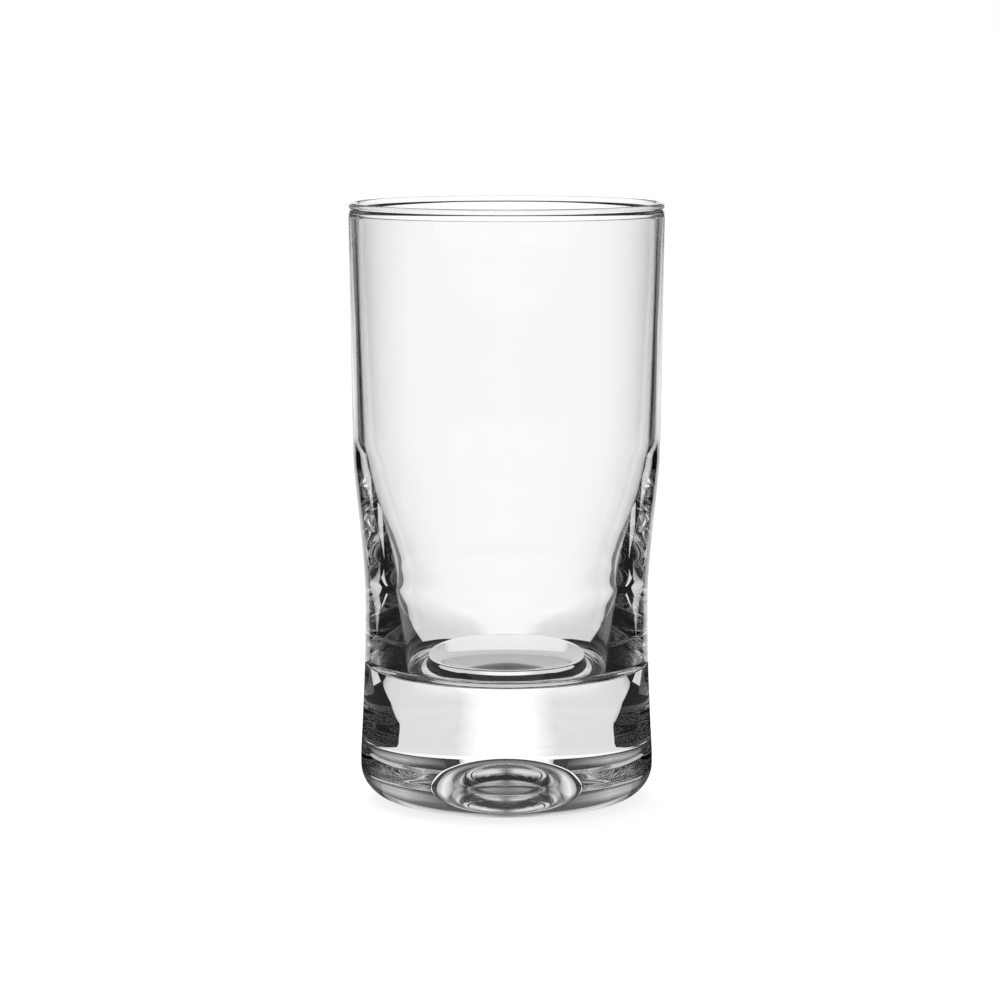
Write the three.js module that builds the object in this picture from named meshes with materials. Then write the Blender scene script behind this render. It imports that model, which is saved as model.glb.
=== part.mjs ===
// Water glass: a pressed soda-lime tumbler with a thick base, a drawn-in waist and a fire-polished rim.
// The glass is one piece, so it is one solid of revolution: millimetres, +Z up, origin on the table
// at the centre of the bearing ring.
import * as THREE from "three";

// Heights above the table
const HEIGHT = 118;
const HEEL_HEIGHT = 7;
const SEAM_HEIGHT = 9.6;
const FLOOR_HEIGHT = 25.1;
const WAIST_HEIGHT = 39.5;
const WELL_HEIGHT = 43.5;
const SHOULDER_HEIGHT = 69;
const INNER_SHOULDER_HEIGHT = 72;

// Outside diameters
const MOUTH_DIAMETER = 62;
const SHOULDER_DIAMETER = 60.56;
const WAIST_DIAMETER = 55.9;
const HEEL_DIAMETER = 57.8;
const BEARING_DIAMETER = 42;

// Inside diameters at the shoulder and at the top of the straight well
const INNER_SHOULDER_DIAMETER = 56.5;
const WELL_DIAMETER = 44.8;

// Slopes of the wall, as dr/dz: outside above the seam, and inside the well
const SEAM_SLOPE = -0.045;
const WELL_SLOPE = 0.11;

// How long each stretch of wall holds its slope at its two ends, as a share of the stretch's height
const BASE_EASES = [0.33, 0.4];
const WAIST_EASES = [0.32, 0.19];
const UPPER_EASES = [0.3, 0.3];
const INNER_EASES = [0.15, 0.2];

// Rim: a round bead, a little inside the widest turn of the mouth
const RIM_THICKNESS = 2;
const RIM_INSET = 0.2;
const MOUTH_DROP = 4.5;
const MOUTH_WALL = 1.45;

// Mould seam: the band under it stands proud by a small step
const SEAM_STEP = 0.2;
const SEAM_RISE = 0.8;

// Underside: a domed punt in a flat ring to stand on
const PUNT_DIAMETER = 23.2;
const PUNT_DEPTH = 8.9;
const PUNT_LIP = 0.8;

// Floor: a round groove along the wall and a low dome in the middle, above the groove's bottom
const GROOVE_RADIUS = 2.4;
const DOME_RISE = 3.6;

// Facets round the axis, and along each stretch of the section
const SEGMENTS = 64;
const CROWN_STEPS = 9;
const LIP_STEPS = 3;
const HEEL_STEPS = 7;
const BASE_STEPS = 5;
const WAIST_STEPS = 9;
const UPPER_STEPS = 3;
const RIM_STEPS = 8;
const INNER_STEPS = 10;
const GROOVE_STEPS = 4;
const DOME_STEPS = 6;

// Points of the section that are nearer than this are one point.
const SAME_POINT = 1e-6;

const mouthRadius = MOUTH_DIAMETER / 2;
const shoulderRadius = SHOULDER_DIAMETER / 2;
const waistRadius = WAIST_DIAMETER / 2;
const heelRadius = HEEL_DIAMETER / 2;
const bearingRadius = BEARING_DIAMETER / 2;
const wellRadius = WELL_DIAMETER / 2;
const mouthHeight = HEIGHT - MOUTH_DROP;

const degrees = THREE.MathUtils.degToRad;

// Points of an ellipse about (r, z), from one angle to the other.
function round(r, z, radiusR, radiusZ, from, to, steps) {
  const curve = new THREE.EllipseCurve(r, z, radiusR, radiusZ, degrees(from), degrees(to), to < from);
  return curve.getPoints(steps);
}

// Points of a curve from start to end, each an [r, z] pair. It leaves start with the first slope, reaches
// end with the second one and holds each for its ease.
function sweep(start, end, slopes, eases, steps) {
  const rise = end[1] - start[1];
  const lead = eases[0] * rise;
  const lag = eases[1] * rise;
  const first = [start[0] + slopes[0] * lead, start[1] + lead];
  const last = [end[0] - slopes[1] * lag, end[1] - lag];
  const points = [start, first, last, end].map(([r, z]) => new THREE.Vector2(r, z));
  return new THREE.CubicBezierCurve(...points).getPoints(steps);
}

// The hollow under the base, from its crown out to the flat ring.
function punt() {
  const foot = PUNT_DIAMETER / 2;
  return [
    ...round(0, PUNT_LIP, foot - PUNT_LIP, PUNT_DEPTH - PUNT_LIP, 90, 0, CROWN_STEPS),
    ...round(foot, PUNT_LIP, PUNT_LIP, PUNT_LIP, 180, 270, LIP_STEPS),
  ];
}

// The flat ring, the round heel and the band up to the mould seam.
function heel() {
  return [
    ...round(bearingRadius, HEEL_HEIGHT, heelRadius - bearingRadius, HEEL_HEIGHT, -90, 0, HEEL_STEPS),
    new THREE.Vector2(heelRadius, SEAM_HEIGHT),
  ];
}

// The outside from the seam in to the waist, out over the shoulder and up to the mouth.
function outside() {
  const seam = [heelRadius - SEAM_STEP, SEAM_HEIGHT + SEAM_RISE];
  const waist = [waistRadius, WAIST_HEIGHT];
  const shoulder = [shoulderRadius, SHOULDER_HEIGHT];
  const mouth = [mouthRadius, mouthHeight];
  const flare = (mouth[0] - shoulder[0]) / (mouth[1] - shoulder[1]);
  return [
    ...sweep(seam, waist, [SEAM_SLOPE, 0], BASE_EASES, BASE_STEPS),
    ...sweep(waist, shoulder, [0, flare], WAIST_EASES, WAIST_STEPS),
    ...sweep(shoulder, mouth, [flare, flare], UPPER_EASES, UPPER_STEPS),
  ];
}

// The fire-polished bead round the mouth, from its outer side over the top to its inner side.
function rim() {
  const bead = RIM_THICKNESS / 2;
  return round(mouthRadius - RIM_INSET - bead, HEIGHT - bead, bead, bead, 0, 180, RIM_STEPS);
}

// The inside from the mouth down to the shoulder and in to the top of the well.
function inside() {
  const mouth = [mouthRadius - MOUTH_WALL, mouthHeight];
  const shoulder = [INNER_SHOULDER_DIAMETER / 2, INNER_SHOULDER_HEIGHT];
  const well = [wellRadius, WELL_HEIGHT];
  const taper = (mouth[0] - shoulder[0]) / (mouth[1] - shoulder[1]);
  return [
    ...sweep(mouth, shoulder, [taper, taper], UPPER_EASES, UPPER_STEPS),
    ...sweep(shoulder, well, [taper, WELL_SLOPE], INNER_EASES, INNER_STEPS),
  ];
}

// The floor: the groove, which meets the leaning wall of the well, and the dome up to its crown.
function floor() {
  const lean = Math.atan(WELL_SLOPE);
  const high = FLOOR_HEIGHT + GROOVE_RADIUS;
  const drop = WELL_HEIGHT - high + GROOVE_RADIUS * Math.sin(lean);
  const middle = wellRadius - WELL_SLOPE * drop - GROOVE_RADIUS * Math.cos(lean);
  const start = -THREE.MathUtils.radToDeg(lean);
  return [
    ...round(middle, high, GROOVE_RADIUS, GROOVE_RADIUS, start, -90, GROOVE_STEPS),
    ...round(middle, high, GROOVE_RADIUS, GROOVE_RADIUS, 270, 180, GROOVE_STEPS),
    ...round(0, high, middle - GROOVE_RADIUS, DOME_RISE - GROOVE_RADIUS, 0, 90, DOME_STEPS),
  ];
}

// The half section, with the points where two stretches meet kept once.
function section() {
  const points = [...punt(), ...heel(), ...outside(), ...rim(), ...inside(), ...floor()];
  const apart = points.filter((point, i) => i === 0 || point.distanceTo(points[i - 1]) > SAME_POINT);
  apart[0].x = 0;
  apart[apart.length - 1].x = 0;
  return apart;
}

const clearGlass = new THREE.MeshStandardMaterial({
  color: 0xf1f6f4,
  roughness: 0.03,
  metalness: 0,
  transparent: true,
  opacity: 0.35,
});

const tumbler = new THREE.Mesh(new THREE.LatheGeometry(section(), SEGMENTS), clearGlass);
tumbler.name = "tumbler";
tumbler.rotation.x = Math.PI / 2;

const glass = new THREE.Group();
glass.add(tumbler);

export default glass;
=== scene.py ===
"""Water glass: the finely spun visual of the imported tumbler, its clear finish and its studio."""

import logging
import math
from dataclasses import dataclass, field
from enum import Enum
from itertools import chain

import bmesh
import bpy
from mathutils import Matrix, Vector
from mathutils.geometry import interpolate_bezier


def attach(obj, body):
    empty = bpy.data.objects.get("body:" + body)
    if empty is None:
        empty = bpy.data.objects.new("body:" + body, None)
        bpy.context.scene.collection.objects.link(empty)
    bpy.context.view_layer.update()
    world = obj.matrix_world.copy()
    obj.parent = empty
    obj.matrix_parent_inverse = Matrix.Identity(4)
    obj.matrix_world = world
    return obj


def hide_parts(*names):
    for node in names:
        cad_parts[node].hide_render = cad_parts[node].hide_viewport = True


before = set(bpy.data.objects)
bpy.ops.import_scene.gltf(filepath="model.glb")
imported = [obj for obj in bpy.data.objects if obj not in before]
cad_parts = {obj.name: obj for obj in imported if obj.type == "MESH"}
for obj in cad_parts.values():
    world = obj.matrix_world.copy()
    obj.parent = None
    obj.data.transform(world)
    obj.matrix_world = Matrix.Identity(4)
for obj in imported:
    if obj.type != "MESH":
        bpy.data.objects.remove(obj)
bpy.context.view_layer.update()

MM = 0.001
LOG = logging.getLogger("water_glass")

# Half the table's width, and how far it lies under the glass so that cards fit between, in metres
TABLE_HALF = 4.0
TABLE_DEPTH = 0.0002

Point = tuple[float, float]
Triple = tuple[float, float, float]
Colour = tuple[float, float, float, float]
Glowing = tuple[float, float, float, float]


class Ray(Enum):
    """The kinds of ray that the surroundings tell apart."""

    CAMERA = "Is Camera Ray"
    GLOSSY = "Is Glossy Ray"
    TRANSMISSION = "Is Transmission Ray"


class Side(Enum):
    """The two sides of the glass as the camera sees them."""

    LEFT = -1
    RIGHT = 1


class Layer(Enum):
    """The cards that lie on the table: how deep each is, as a share of the table's depth."""

    # the card of painted shade over the table
    MAT = 0.75
    SHEET = 0.5
    PATCH = 0.4
    # the strip of painted light under the front of the glass
    STRIP = 0.25

    @property
    def level(self) -> float:
        """The layer's height."""
        return -self.value * TABLE_DEPTH


@dataclass(frozen=True)
class Arc:
    """A stretch of an ellipse in the half section, in millimetres and degrees."""

    centre: Point
    radii: Point
    start: float
    end: float
    steps: int

    def points(self) -> list[Point]:
        """Works out the stretch.

        Returns:
            Its points, from the start angle to the end angle.
        """
        turn = (self.end - self.start) / self.steps
        angles = (math.radians(self.start + turn * i) for i in range(self.steps + 1))
        (r, z), (wide, high) = self.centre, self.radii
        return [(r + wide * math.cos(a), z + high * math.sin(a)) for a in angles]


@dataclass(frozen=True)
class Sweep:
    """A smooth stretch of wall between two points of the half section, in millimetres.

    The slopes are dr/dz at each end, and the eases say how long each slope holds, as a share of the height
    between the ends.
    """

    start: Point
    end: Point
    slopes: Point
    eases: Point
    steps: int

    def points(self) -> list[Point]:
        """Works out the stretch.

        Returns:
            Its points, from start to end.
        """
        rise = self.end[1] - self.start[1]
        lead, lag = self.eases[0] * rise, self.eases[1] * rise
        knots = (
            self.start,
            (self.start[0] + self.slopes[0] * lead, self.start[1] + lead),
            (self.end[0] - self.slopes[1] * lag, self.end[1] - lag),
            self.end,
        )
        curve = interpolate_bezier(*map(Vector, knots), self.steps + 1)
        return [(p[0], p[1]) for p in curve]


@dataclass
class GlassSection:
    """The half section of the glass, from the crown of the punt round to the crown of the floor.

    Sizes are in millimetres. Eases say how long a wall holds its slope at each end of a stretch, and steps
    how many pieces a stretch is cut into. The bead and the turn of wall under it, the mould seam and the
    turn of the inner shoulder are a little finer or softer than in the CAD, and the rest is the same.
    """

    height: float = 118.0
    heel_height: float = 7.0
    seam_height: float = 8.2
    floor_height: float = 25.1
    waist_height: float = 39.5
    well_top_height: float = 43.5
    shoulder_height: float = 69.0
    inner_shoulder_height: float = 72.0

    mouth_radius: float = 31.0
    shoulder_radius: float = 30.28
    waist_radius: float = 27.95
    heel_radius: float = 28.9
    bearing_radius: float = 21.0
    inner_shoulder_radius: float = 28.25
    well_top_radius: float = 22.4

    mouth_wall: float = 1.45
    well_draft: float = 0.11
    seam_draft: float = 0.045
    base_eases: Point = (0.33, 0.4)
    waist_eases: Point = (0.32, 0.19)
    wall_eases: Point = (0.3, 0.3)
    inner_eases: Point = (0.28, 0.2)

    rim_thickness: float = 1.6
    rim_tuck: float = 28.0
    rim_inset: float = 0.05
    mouth_drop: float = 2.8
    seam_step: float = 0.08
    seam_rise: float = 2.4
    seam_eases: Point = (0.4, 0.3)

    punt_foot_radius: float = 11.6
    punt_depth: float = 8.9
    punt_lip: float = 0.8

    groove_radius: float = 2.4
    dome_rise: float = 3.6

    crown_steps: int = 28
    lip_steps: int = 8
    heel_steps: int = 24
    seam_steps: int = 8
    base_steps: int = 14
    waist_steps: int = 28
    wall_steps: int = 6
    rim_steps: int = 28
    inner_steps: int = 34
    floor_steps: int = 26
    same_point: float = 1e-4

    @property
    def mouth_height(self) -> float:
        """The height of the widest turn of the mouth."""
        return self.height - self.mouth_drop

    def punt(self) -> list[Point]:
        """Draws the hollow under the base.

        Returns:
            Its points, from its crown out to the flat ring.
        """
        foot, lip = self.punt_foot_radius, self.punt_lip
        crown = Arc((0, lip), (foot - lip, self.punt_depth - lip), 90, 0, self.crown_steps)
        return crown.points() + Arc((foot, lip), (lip, lip), 180, 270, self.lip_steps).points()

    def heel(self) -> list[Point]:
        """Draws the round heel.

        Returns:
            Its points, from the flat ring up to the foot of the mould seam.
        """
        high, reach = self.heel_height, self.heel_radius - self.bearing_radius
        turn = Arc((self.bearing_radius, high), (reach, high), -90, 0, self.heel_steps)
        return [*turn.points(), (self.heel_radius, self.seam_height)]

    def outside(self) -> list[Point]:
        """Draws the outer wall.

        Returns:
            Its points, from the seam in to the waist, out over the shoulder and up to the mouth.
        """
        band = (self.heel_radius, self.seam_height)
        seam = (self.heel_radius - self.seam_step, self.seam_height + self.seam_rise)
        waist = (self.waist_radius, self.waist_height)
        shoulder = (self.shoulder_radius, self.shoulder_height)
        mouth = (self.mouth_radius, self.mouth_height)
        flare = (mouth[0] - shoulder[0]) / (mouth[1] - shoulder[1])
        return [
            *Sweep(band, seam, (0, -self.seam_draft), self.seam_eases, self.seam_steps).points(),
            *Sweep(seam, waist, (-self.seam_draft, 0), self.base_eases, self.base_steps).points(),
            *Sweep(waist, shoulder, (0, flare), self.waist_eases, self.waist_steps).points(),
            *Sweep(shoulder, mouth, (flare, flare), self.wall_eases, self.wall_steps).points(),
        ]

    def rim(self) -> list[Point]:
        """Draws the fire-polished bead.

        Returns:
            Its points, from its outer side over the top to its inner side.
        """
        half = self.rim_thickness / 2
        centre = (self.mouth_radius - self.rim_inset - half, self.height - half)
        return Arc(centre, (half, half), -self.rim_tuck, 180 + self.rim_tuck, self.rim_steps).points()

    def inside(self) -> list[Point]:
        """Draws the inner wall.

        Returns:
            Its points, from the mouth down to the shoulder and in to the top of the well.
        """
        mouth = (self.mouth_radius - self.mouth_wall, self.mouth_height)
        shoulder = (self.inner_shoulder_radius, self.inner_shoulder_height)
        well = (self.well_top_radius, self.well_top_height)
        taper = (mouth[0] - shoulder[0]) / (mouth[1] - shoulder[1])
        return [
            *Sweep(mouth, shoulder, (taper, taper), self.wall_eases, self.wall_steps).points(),
            *Sweep(shoulder, well, (taper, self.well_draft), self.inner_eases, self.inner_steps).points(),
        ]

    def floor(self) -> list[Point]:
        """Draws the floor.

        Returns:
            Its points: the groove under the leaning wall of the well, and the dome up to its crown.
        """
        groove, lean = self.groove_radius, math.atan(self.well_draft)
        high = self.floor_height + groove
        drop = self.well_top_height - high + groove * math.sin(lean)
        middle = self.well_top_radius - self.well_draft * drop - groove * math.cos(lean)
        dome = (middle - groove, self.dome_rise - groove)
        return [
            *Arc((middle, high), (groove, groove), -math.degrees(lean), -180, self.floor_steps).points(),
            *Arc((0, high), dome, 0, 90, self.floor_steps).points(),
        ]

    def points(self) -> list[Point]:
        """Joins the stretches.

        Returns:
            The half section, with the points where two stretches meet kept once and both ends on the axis.
        """
        whole = [
            *self.punt(),
            *self.heel(),
            *self.outside(),
            *self.rim(),
            *self.inside(),
            *self.floor(),
        ]
        apart = whole[:1]
        for point in whole[1:]:
            if math.dist(point, apart[-1]) > self.same_point:
                apart.append(point)
        return [(0.0, apart[0][1]), *apart[1:-1], (0.0, apart[-1][1])]


@dataclass(frozen=True)
class ClearGlass:
    """Fire-polished soda-lime glass, with the faint waviness that the mould leaves."""

    name: str = "clear_glass"
    colour: Colour = (0.985, 0.994, 0.99, 1.0)
    refraction: float = 1.52
    wave_scale: float = 70.0
    wave_detail: float = 1.0
    wave_height: float = 4e-6
    smear_scale: float = 180.0
    smear_range: Point = (0.35, 0.75)
    smear_roughness: float = 0.012

    def material(self) -> bpy.types.Material:
        """Makes the finish.

        Returns:
            A node material that reads the piece's Object coordinates.
        """
        material = bpy.data.materials.new(self.name)
        material.use_nodes = True
        tree = material.node_tree
        shader = tree.nodes["Principled BSDF"]
        shader.inputs["Base Color"].default_value = self.colour
        shader.inputs["IOR"].default_value = self.refraction
        shader.inputs["Transmission Weight"].default_value = 1.0
        place = tree.nodes.new("ShaderNodeTexCoord")
        waves = tree.nodes.new("ShaderNodeTexNoise")
        waves.inputs["Scale"].default_value = self.wave_scale
        waves.inputs["Detail"].default_value = self.wave_detail
        bump = tree.nodes.new("ShaderNodeBump")
        bump.inputs["Distance"].default_value = self.wave_height
        smear = tree.nodes.new("ShaderNodeTexNoise")
        smear.inputs["Scale"].default_value = self.smear_scale
        polish = tree.nodes.new("ShaderNodeMapRange")
        polish.inputs["From Min"].default_value = self.smear_range[0]
        polish.inputs["From Max"].default_value = self.smear_range[1]
        polish.inputs["To Max"].default_value = self.smear_roughness
        link = tree.links.new
        link(place.outputs["Object"], waves.inputs["Vector"])
        link(waves.outputs["Fac"], bump.inputs["Height"])
        link(bump.outputs["Normal"], shader.inputs["Normal"])
        link(place.outputs["Object"], smear.inputs["Vector"])
        link(smear.outputs["Fac"], polish.inputs["Value"])
        link(polish.outputs["Result"], shader.inputs["Roughness"])
        return material


@dataclass
class Tumbler:
    """The whole glass, which is one piece: its section spun round the axis."""

    section: GlassSection = field(default_factory=GlassSection)
    finish: ClearGlass = field(default_factory=ClearGlass)
    name: str = "clear_tumbler"
    turns: int = 256
    merge_distance: float = 1e-8

    def build(self) -> bpy.types.Object:
        """Spins the section into a closed mesh.

        Returns:
            The glass, at the origin with its place in its mesh.
        """
        shape = bmesh.new()
        outline = [shape.verts.new((r * MM, 0.0, z * MM)) for r, z in self.section.points()]
        edges = [shape.edges.new(pair) for pair in zip(outline, outline[1:])]
        bmesh.ops.spin(
            shape,
            geom=[*outline, *edges],
            cent=(0.0, 0.0, 0.0),
            axis=(0.0, 0.0, 1.0),
            angle=math.tau,
            steps=self.turns,
            use_merge=True,
        )
        bmesh.ops.remove_doubles(shape, verts=shape.verts, dist=self.merge_distance)
        bmesh.ops.recalc_face_normals(shape, faces=shape.faces)
        mesh = bpy.data.meshes.new(self.name)
        shape.to_mesh(mesh)
        shape.free()
        mesh.shade_smooth()
        glass = bpy.data.objects.new(self.name, mesh)
        bpy.context.scene.collection.objects.link(glass)
        return glass

    def dress(self, glass: bpy.types.Object) -> None:
        """Gives the glass its finish and sets it in the frame.

        Args:
            glass: The built glass.
        """
        glass.data.materials.append(self.finish.material())
        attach(glass, "root")
        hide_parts("tumbler")


@dataclass(frozen=True)
class PaleTable:
    """The table's finish: a pale glow of its own, and a matt surface that keeps the glass's shadow."""

    name: str = "pale_table"
    glow: float = 0.8
    grey: float = 0.3

    def material(self) -> bpy.types.Material:
        """Makes the finish.

        Returns:
            A node material that adds the glow to the matt surface.
        """
        material = bpy.data.materials.new(self.name)
        material.use_nodes = True
        tree = material.node_tree
        tree.nodes.clear()
        out = tree.nodes.new("ShaderNodeOutputMaterial")
        glow = tree.nodes.new("ShaderNodeEmission")
        glow.inputs["Strength"].default_value = self.glow
        matt = tree.nodes.new("ShaderNodeBsdfDiffuse")
        matt.inputs["Color"].default_value = (self.grey, self.grey, self.grey, 1.0)
        both = tree.nodes.new("ShaderNodeAddShader")
        link = tree.links.new
        link(glow.outputs["Emission"], both.inputs[0])
        link(matt.outputs["BSDF"], both.inputs[1])
        link(both.outputs["Shader"], out.inputs["Surface"])
        return material


@dataclass(frozen=True)
class CardGlow:
    """The plain glow of the stage cards, as strong as each card's own attribute says."""

    name: str = "card_glow"
    attribute: str = "glow"

    def material(self) -> bpy.types.Material:
        """Makes the glow.

        Returns:
            A node material that reads the card's attribute.
        """
        material = bpy.data.materials.new(self.name)
        material.use_nodes = True
        tree = material.node_tree
        tree.nodes.clear()
        out = tree.nodes.new("ShaderNodeOutputMaterial")
        light = tree.nodes.new("ShaderNodeEmission")
        strength = tree.nodes.new("ShaderNodeAttribute")
        strength.attribute_name = self.attribute
        tree.links.new(strength.outputs["Fac"], light.inputs["Strength"])
        tree.links.new(light.outputs["Emission"], out.inputs["Surface"])
        return material


class Stage:
    """How the table and the cards are made: each is a mesh object of its own."""

    @staticmethod
    def staged(name: str, shape: bmesh.types.BMesh) -> bpy.types.Object:
        """Makes a stage object of a shape.

        Args:
            name: The object's name.
            shape: Its mesh, which is freed.

        Returns:
            The object, linked to the scene.
        """
        mesh = bpy.data.meshes.new(name)
        shape.to_mesh(mesh)
        shape.free()
        made = bpy.data.objects.new(name, mesh)
        bpy.context.scene.collection.objects.link(made)
        return made

    @classmethod
    def card(cls, name: str, rows: list[list[Glowing]]) -> bpy.types.Object:
        """Makes a card from rows of glowing points, which are places in metres with a glow.

        Args:
            name: The card's name.
            rows: Its rows, with as many points in each.

        Returns:
            The card.
        """
        shape = bmesh.new()
        bmesh.ops.create_grid(shape, x_segments=len(rows[0]) - 1, y_segments=len(rows) - 1, size=1.0)
        glow = shape.verts.layers.float.new(CardGlow.attribute)
        for vert, (x, y, z, strength) in zip(shape.verts, chain.from_iterable(rows)):
            vert.co = (x, y, z)
            vert[glow] = strength
        return cls.staged(name, shape)


@dataclass
class Table(Stage):
    """The pale table that the glass stands on."""

    finish: PaleTable = field(default_factory=PaleTable)

    def build(self) -> bpy.types.Object:
        """Lays the table.

        Returns:
            The table.
        """
        shape = bmesh.new()
        bmesh.ops.create_grid(shape, x_segments=1, y_segments=1, size=TABLE_HALF)
        bmesh.ops.translate(shape, verts=shape.verts, vec=(0.0, 0.0, -TABLE_DEPTH))
        return self.staged("table", shape)

    def dress(self, table: bpy.types.Object) -> None:
        """Gives the table its finish.

        Args:
            table: The built table.
        """
        table.data.materials.append(self.finish.material())


@dataclass(frozen=True)
class SheetRow:
    """One row of the white sheet: how far it is behind the glass, half its width and its glow.

    Lengths are in metres. The edge and the flank are the glow at its ends and on either side of its middle,
    and the shares of its half width say where the flank starts, where it ends and where the middle starts.
    The dim edges, the flanks and the brighter middle are a painted pool of light on the sheet.
    """

    away: float
    half_width: float
    edge: float = 0.45
    flank: float = 1.04
    shares: Triple = (0.85, 0.45, 0.2)


@dataclass(frozen=True)
class SheetPatch:
    """A patch of painted light in front of the white sheet: its reach across and away from the glass, and
    its glow.

    Lengths are in metres. The spread is how much wider its far end is.
    """

    across: Point
    away: Point
    glow: float
    spread: float = 0.0


@dataclass
class WhiteSheet(Stage):
    """The white sheet, which widens behind the glass and turns up at its far end, and its patches.

    The near rows are what the base shows, and the far ones what the wall shows. The sheet's glow, brightest
    in the middle and dim at the edges, is a painted pool of light, and the patches are painted light too.
    """

    rows: tuple[SheetRow, ...] = (
        SheetRow(0.0598, 0.012, 0.62, 0.80, (0.85, 0.30, 0.15)),
        SheetRow(0.066, 0.024, 0.62, 0.80, (0.85, 0.26, 0.12)),
        SheetRow(0.075, 0.039, 0.60, 0.80, (0.85, 0.20, 0.10)),
        SheetRow(0.079, 0.055, 0.58, 0.80, (0.85, 0.16, 0.08)),
        SheetRow(0.082, 0.060, 0.55, 0.80, (0.85, 0.16, 0.08)),
        SheetRow(0.098, 0.066, 0.60, 0.80, (0.85, 0.20, 0.09)),
        SheetRow(0.100, 0.086, 0.60, 0.80, (0.85, 0.16, 0.07)),
        SheetRow(0.110, 0.118, 0.65, 0.90, (0.85, 0.13, 0.06)),
        SheetRow(0.120, 0.123, 0.65, 0.99, (0.85, 0.20, 0.10)),
        SheetRow(0.137, 0.130, 0.60, 1.03),
        SheetRow(0.165, 0.142),
        SheetRow(0.450, 0.240),
        SheetRow(0.565, 0.303),
        SheetRow(0.725, 0.390),
        SheetRow(0.990, 0.430),
        SheetRow(2.004, 0.540),
        SheetRow(4.000, 0.880),
    )
    end_height: float = 0.8
    # the brighter middle of the painted pool of light
    middle_glow: float = 1.12
    # patches of painted light near the glass, laid on both sides
    patches: tuple[SheetPatch, ...] = (
        SheetPatch((0.0, 0.014), (0.017, 0.031), 0.90),
        SheetPatch((0.007, 0.0138), (0.0545, 0.066), 0.79, 0.009),
        SheetPatch((0.062, 0.095), (0.063, 0.079), 0.90),
    )

    def build(self) -> list[bpy.types.Object]:
        """Lays the sheet and its patches.

        Returns:
            The sheet, and the patches of each side.
        """
        lying = [self.across(row, Layer.SHEET.level) for row in self.rows]
        end = self.across(self.rows[-1], self.end_height)
        made = [self.card("white_sheet", [*lying, end])]
        for side in Side:
            made += [self.patch(side, patch) for patch in self.patches]
        return made

    def across(self, row: SheetRow, level: float) -> list[Glowing]:
        """Works out the points of one row of the sheet.

        Args:
            row: The row.
            level: Its height.

        Returns:
            Its points from left to right: dim edges, even flanks and a brighter middle, a painted pool of
                light.
        """
        glows = (row.edge, row.flank, row.flank, self.middle_glow)
        half = [(row.half_width * share, glow) for share, glow in zip((1.0, *row.shares), glows)]
        left = [(-x, row.away, level, glow) for x, glow in half]
        return left + [(-x, y, z, glow) for x, y, z, glow in reversed(left)]

    def patch(self, side: Side, patch: SheetPatch) -> bpy.types.Object:
        """Lays one of the patches of painted light.

        Args:
            side: The side of the glass that it is on.
            patch: Its place and glow.

        Returns:
            The patch.
        """
        level, (inner, outer) = Layer.PATCH.level, patch.across
        ends = zip(patch.away, (outer, outer + patch.spread))
        rows = [[(side.value * x, y, level, patch.glow) for x in (inner, wide)] for y, wide in ends]
        return self.card(f"patch_{side.name}", rows)


@dataclass
class PaintedShadeCard(Stage):
    """A dark card over the pale table which only the glass shows, as painted shade, and the low flags that
    give the base's edges their dark lines.

    The painted shade is lighter in front of the glass, and turns dark between two places along its depth,
    in metres.
    """

    # the darkest painted shade, behind the glass; the flags glow as dimly
    glow: float = 0.012
    # lighter painted shade in front of the glass
    front_glow: float = 0.1
    turn: Point = (-0.02, 0.01)
    flag_away: float = 0.03
    flag_reach: Point = (0.034, 0.1)
    flag_height: float = 0.022

    def build(self) -> list[bpy.types.Object]:
        """Lays the card of painted shade and stands the flags.

        Returns:
            The card of painted shade, and the flag of each side.
        """
        wide, level = TABLE_HALF, Layer.MAT.level
        ends = [
            (-wide, self.front_glow),
            (self.turn[0], self.front_glow),
            (self.turn[1], self.glow),
            (wide, self.glow),
        ]
        rows = [[(x, y, level, glow) for x in (-wide, wide)] for y, glow in ends]
        return [self.card("painted_shade_card", rows), *map(self.flag, Side)]

    def flag(self, side: Side) -> bpy.types.Object:
        """Stands one of the flags.

        Args:
            side: The side of the glass that it is on.

        Returns:
            The flag.
        """
        across = [side.value * x for x in self.flag_reach]
        rows = [[(x, self.flag_away, z, self.glow) for x in across] for z in (0.0, self.flag_height)]
        return self.card(f"flag_{side.name}", rows)


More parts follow.
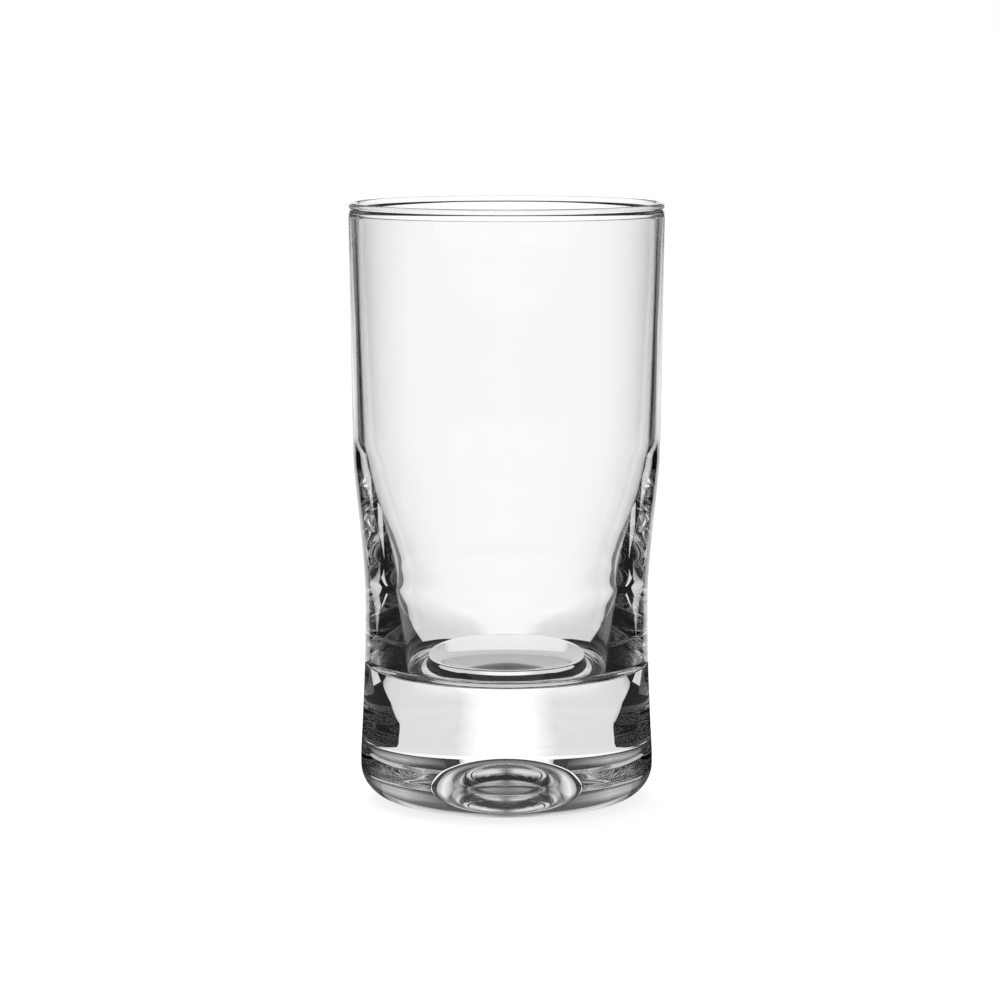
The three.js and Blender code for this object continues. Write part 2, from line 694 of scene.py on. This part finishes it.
@dataclass
class GreyCards(Stage):
    """The grey cards: a screen on each side, a strip of painted light on the table in front and a card
    behind the camera.

    Lengths are in metres. A screen's reach and rise pair each place with a glow, or with a share of it.
    """

    screen_away: float = 1.5
    screen_reach: tuple[Point, ...] = ((0.45, 0.1), (1.0, 0.55), (2.6, 0.1))
    screen_rise: tuple[Point, ...] = ((0.02, 0.4), (0.22, 1.0), (0.6, 0.1))
    strip_half: float = 0.034
    strip_away: Point = (-0.045, -0.008)
    # the glow of the painted light under the front of the glass
    strip_glow: float = 0.65
    front_away: float = -3.0
    front_height: float = 5.0
    front_glow: float = 0.6

    def build(self) -> list[bpy.types.Object]:
        """Sets the grey cards up.

        Returns:
            The strip, the front card, and the screen of each side.
        """
        return [self.strip(), self.front(), *map(self.screen, Side)]

    def strip(self) -> bpy.types.Object:
        """Lays the strip of painted light on the table under the front of the glass.

        Returns:
            The strip.
        """
        wide, level = self.strip_half, Layer.STRIP.level
        rows = [[(x, y, level, self.strip_glow) for x in (-wide, wide)] for y in self.strip_away]
        return self.card("painted_light_strip", rows)

    def front(self) -> bpy.types.Object:
        """Stands the card up behind the camera.

        Returns:
            The card.
        """
        wide, away, glow = TABLE_HALF, self.front_away, self.front_glow
        rows = [[(x, away, z, glow) for x in (-wide, wide)] for z in (0.0, self.front_height)]
        return self.card("front_card", rows)

    def screen(self, side: Side) -> bpy.types.Object:
        """Stands the screen that the heel shows from one side, which fades towards its edges.

        Args:
            side: The side of the glass that it is on.

        Returns:
            The screen.
        """
        across, away = [(side.value * x, glow) for x, glow in self.screen_reach], self.screen_away
        rows = [[(x, away, z, glow * share) for x, glow in across] for z, share in self.screen_rise]
        return self.card(f"screen_{side.name}", rows)


@dataclass(frozen=True)
class BankRow:
    """One row of the soft bank: how far it is behind the glass, its height in metres and its glow."""

    away: float
    height: float
    glow: float


@dataclass
class SoftBank(Stage):
    """The soft bank behind and above the glass, which fades upwards, at its ends and in its middle.

    Its reach goes from its middle to one end, and pairs each place, in metres, with a share of the glow.
    """

    rows: tuple[BankRow, ...] = (
        BankRow(2.0, 1.0, 0.40),
        BankRow(2.0, 2.0, 0.95),
        BankRow(1.5, 2.6, 0.60),
        BankRow(1.0, 3.0, 0.05),
    )
    reach: tuple[Point, ...] = ((0.0, 0.25), (0.12, 0.4), (0.5, 1.0), (1.7, 1.0), (2.4, 0.2))

    def build(self) -> list[bpy.types.Object]:
        """Hangs the bank.

        Returns:
            The bank, alone in its list.
        """
        across = [(-x, share) for x, share in reversed(self.reach)] + list(self.reach[1:])
        rows = [[(x, row.away, row.height, row.glow * share) for x, share in across] for row in self.rows]
        return [self.card("soft_bank", rows)]


@dataclass
class CardStand:
    """The turning stand that keeps the cards square to the camera."""

    sheet: WhiteSheet = field(default_factory=WhiteSheet)
    # the card of painted shade over the table, and the flags
    shade_card: PaintedShadeCard = field(default_factory=PaintedShadeCard)
    grey: GreyCards = field(default_factory=GreyCards)
    bank: SoftBank = field(default_factory=SoftBank)
    finish: CardGlow = field(default_factory=CardGlow)

    def build(self, camera: bpy.types.Object) -> list[bpy.types.Object]:
        """Sets the cards on the stand.

        Args:
            camera: The camera that the stand faces.

        Returns:
            The cards.
        """
        stand = bpy.data.objects.new("card_stand", None)
        bpy.context.scene.collection.objects.link(stand)
        facing = stand.constraints.new("LOCKED_TRACK")
        facing.target = camera
        facing.track_axis = "TRACK_NEGATIVE_Y"
        facing.lock_axis = "LOCK_Z"
        made = [*self.shade_card.build(), *self.sheet.build(), *self.grey.build(), *self.bank.build()]
        for card in made:
            card.parent = stand
        return made

    def dress(self, made: list[bpy.types.Object]) -> None:
        """Gives the cards their glow, which only reflections and refractions show.

        Args:
            made: The built cards.
        """
        glow = self.finish.material()
        for card in made:
            card.data.materials.append(glow)
            card.visible_camera = False
            card.visible_diffuse = False
            card.visible_shadow = False


@dataclass
class Surroundings:
    """The world: white to the camera, an even light on the table, and dark in the glass."""

    white: float = 1.0
    room_light: float = 0.85
    dark: float = 0.03

    def build(self) -> bpy.types.World:
        """Sets the surroundings.

        Returns:
            The world, in use.
        """
        world = bpy.data.worlds.new("studio")
        world.use_nodes = True
        tree = world.node_tree
        tree.nodes.clear()
        out = tree.nodes.new("ShaderNodeOutputWorld")
        seen = tree.nodes.new("ShaderNodeMixShader")
        lit = tree.nodes.new("ShaderNodeMixShader")
        link = tree.links.new
        link(self.either(tree, Ray.GLOSSY, Ray.TRANSMISSION), lit.inputs["Fac"])
        link(self.glow(tree, self.room_light), lit.inputs[1])
        link(self.glow(tree, self.dark), lit.inputs[2])
        link(self.either(tree, Ray.CAMERA), seen.inputs["Fac"])
        link(lit.outputs["Shader"], seen.inputs[1])
        link(self.glow(tree, self.white), seen.inputs[2])
        link(seen.outputs["Shader"], out.inputs["Surface"])
        bpy.context.scene.world = world
        return world

    @staticmethod
    def glow(tree: bpy.types.NodeTree, strength: float) -> bpy.types.NodeSocket:
        """Makes an even white background.

        Args:
            tree: The node tree to work in.
            strength: How strong it is.

        Returns:
            Its socket.
        """
        even = tree.nodes.new("ShaderNodeBackground")
        even.inputs["Color"].default_value = (1.0, 1.0, 1.0, 1.0)
        even.inputs["Strength"].default_value = strength
        return even.outputs["Background"]

    @staticmethod
    def either(tree: bpy.types.NodeTree, *rays: Ray) -> bpy.types.NodeSocket:
        """Tells whether a ray is one of some kinds.

        Args:
            tree: The node tree to work in.
            rays: The kinds.

        Returns:
            A socket that is 1 for those rays and 0 for the rest.
        """
        path = tree.nodes.new("ShaderNodeLightPath")
        found = path.outputs[rays[0].value]
        for ray in rays[1:]:
            most = tree.nodes.new("ShaderNodeMath")
            most.operation = "MAXIMUM"
            tree.links.new(found, most.inputs[0])
            tree.links.new(path.outputs[ray.value], most.inputs[1])
            found = most.outputs["Value"]
        return found


@dataclass
class SoftLamp:
    """The soft lamp above the glass, which lights the table and casts the glass's shadow."""

    place: Triple = (-0.25, 0.35, 1.1)
    width: float = 0.9
    power: float = 6.0

    def build(self) -> bpy.types.Object:
        """Hangs the lamp.

        Returns:
            The lamp, turned to the glass.
        """
        light = bpy.data.lights.new("soft_lamp", "AREA")
        light.shape = "DISK"
        light.size = self.width
        light.energy = self.power
        lamp = bpy.data.objects.new("soft_lamp", light)
        lamp.location = self.place
        lamp.rotation_euler = (-Vector(self.place)).to_track_quat("-Z", "Y").to_euler()
        lamp.visible_glossy = False
        lamp.visible_transmission = False
        bpy.context.scene.collection.objects.link(lamp)
        return lamp


@dataclass
class Viewpoint:
    """The camera at the photograph's viewing angle: metres, degrees down and millimetres of lens."""

    place: Triple = (-0.0013, -0.76977, 0.15368)
    pitch: float = 6.9876
    lens: float = 141.44
    sensor: float = 36.0
    clip: Point = (0.01, 50.0)

    def build(self) -> bpy.types.Object:
        """Sets the camera.

        Returns:
            The camera, in use.
        """
        optics = bpy.data.cameras.new("camera")
        optics.sensor_width = self.sensor
        optics.lens = self.lens
        optics.clip_start, optics.clip_end = self.clip
        camera = bpy.data.objects.new("camera", optics)
        camera.location = self.place
        camera.rotation_euler = (math.radians(90 - self.pitch), 0.0, 0.0)
        bpy.context.scene.collection.objects.link(camera)
        bpy.context.scene.camera = camera
        return camera


@dataclass
class Studio:
    """The whole studio. Light that is trapped in the thick base needs many bounces to get out."""

    table: Table = field(default_factory=Table)
    surroundings: Surroundings = field(default_factory=Surroundings)
    lamp: SoftLamp = field(default_factory=SoftLamp)
    viewpoint: Viewpoint = field(default_factory=Viewpoint)
    stand: CardStand = field(default_factory=CardStand)
    light_bounces: int = 32

    def build(self) -> list[bpy.types.Object]:
        """Sets the studio up.

        Returns:
            The table and the cards.
        """
        bpy.context.scene.view_settings.view_transform = "Standard"
        paths = bpy.context.scene.cycles
        paths.max_bounces = paths.glossy_bounces = paths.transmission_bounces = self.light_bounces
        self.surroundings.build()
        self.lamp.build()
        table = self.table.build()
        self.table.dress(table)
        cards = self.stand.build(self.viewpoint.build())
        self.stand.dress(cards)
        return [table, *cards]


def main() -> None:
    """Builds the studio and the glass."""
    logging.basicConfig(level=logging.INFO, format="%(name)s: %(message)s")
    LOG.info("studio: %s", [made.name for made in Studio().build()])
    tumbler = Tumbler()
    glass = tumbler.build()
    tumbler.dress(glass)
    LOG.info("%s: %d faces for %s", glass.name, len(glass.data.polygons), sorted(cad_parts))


if __name__ == "__main__":
    main()
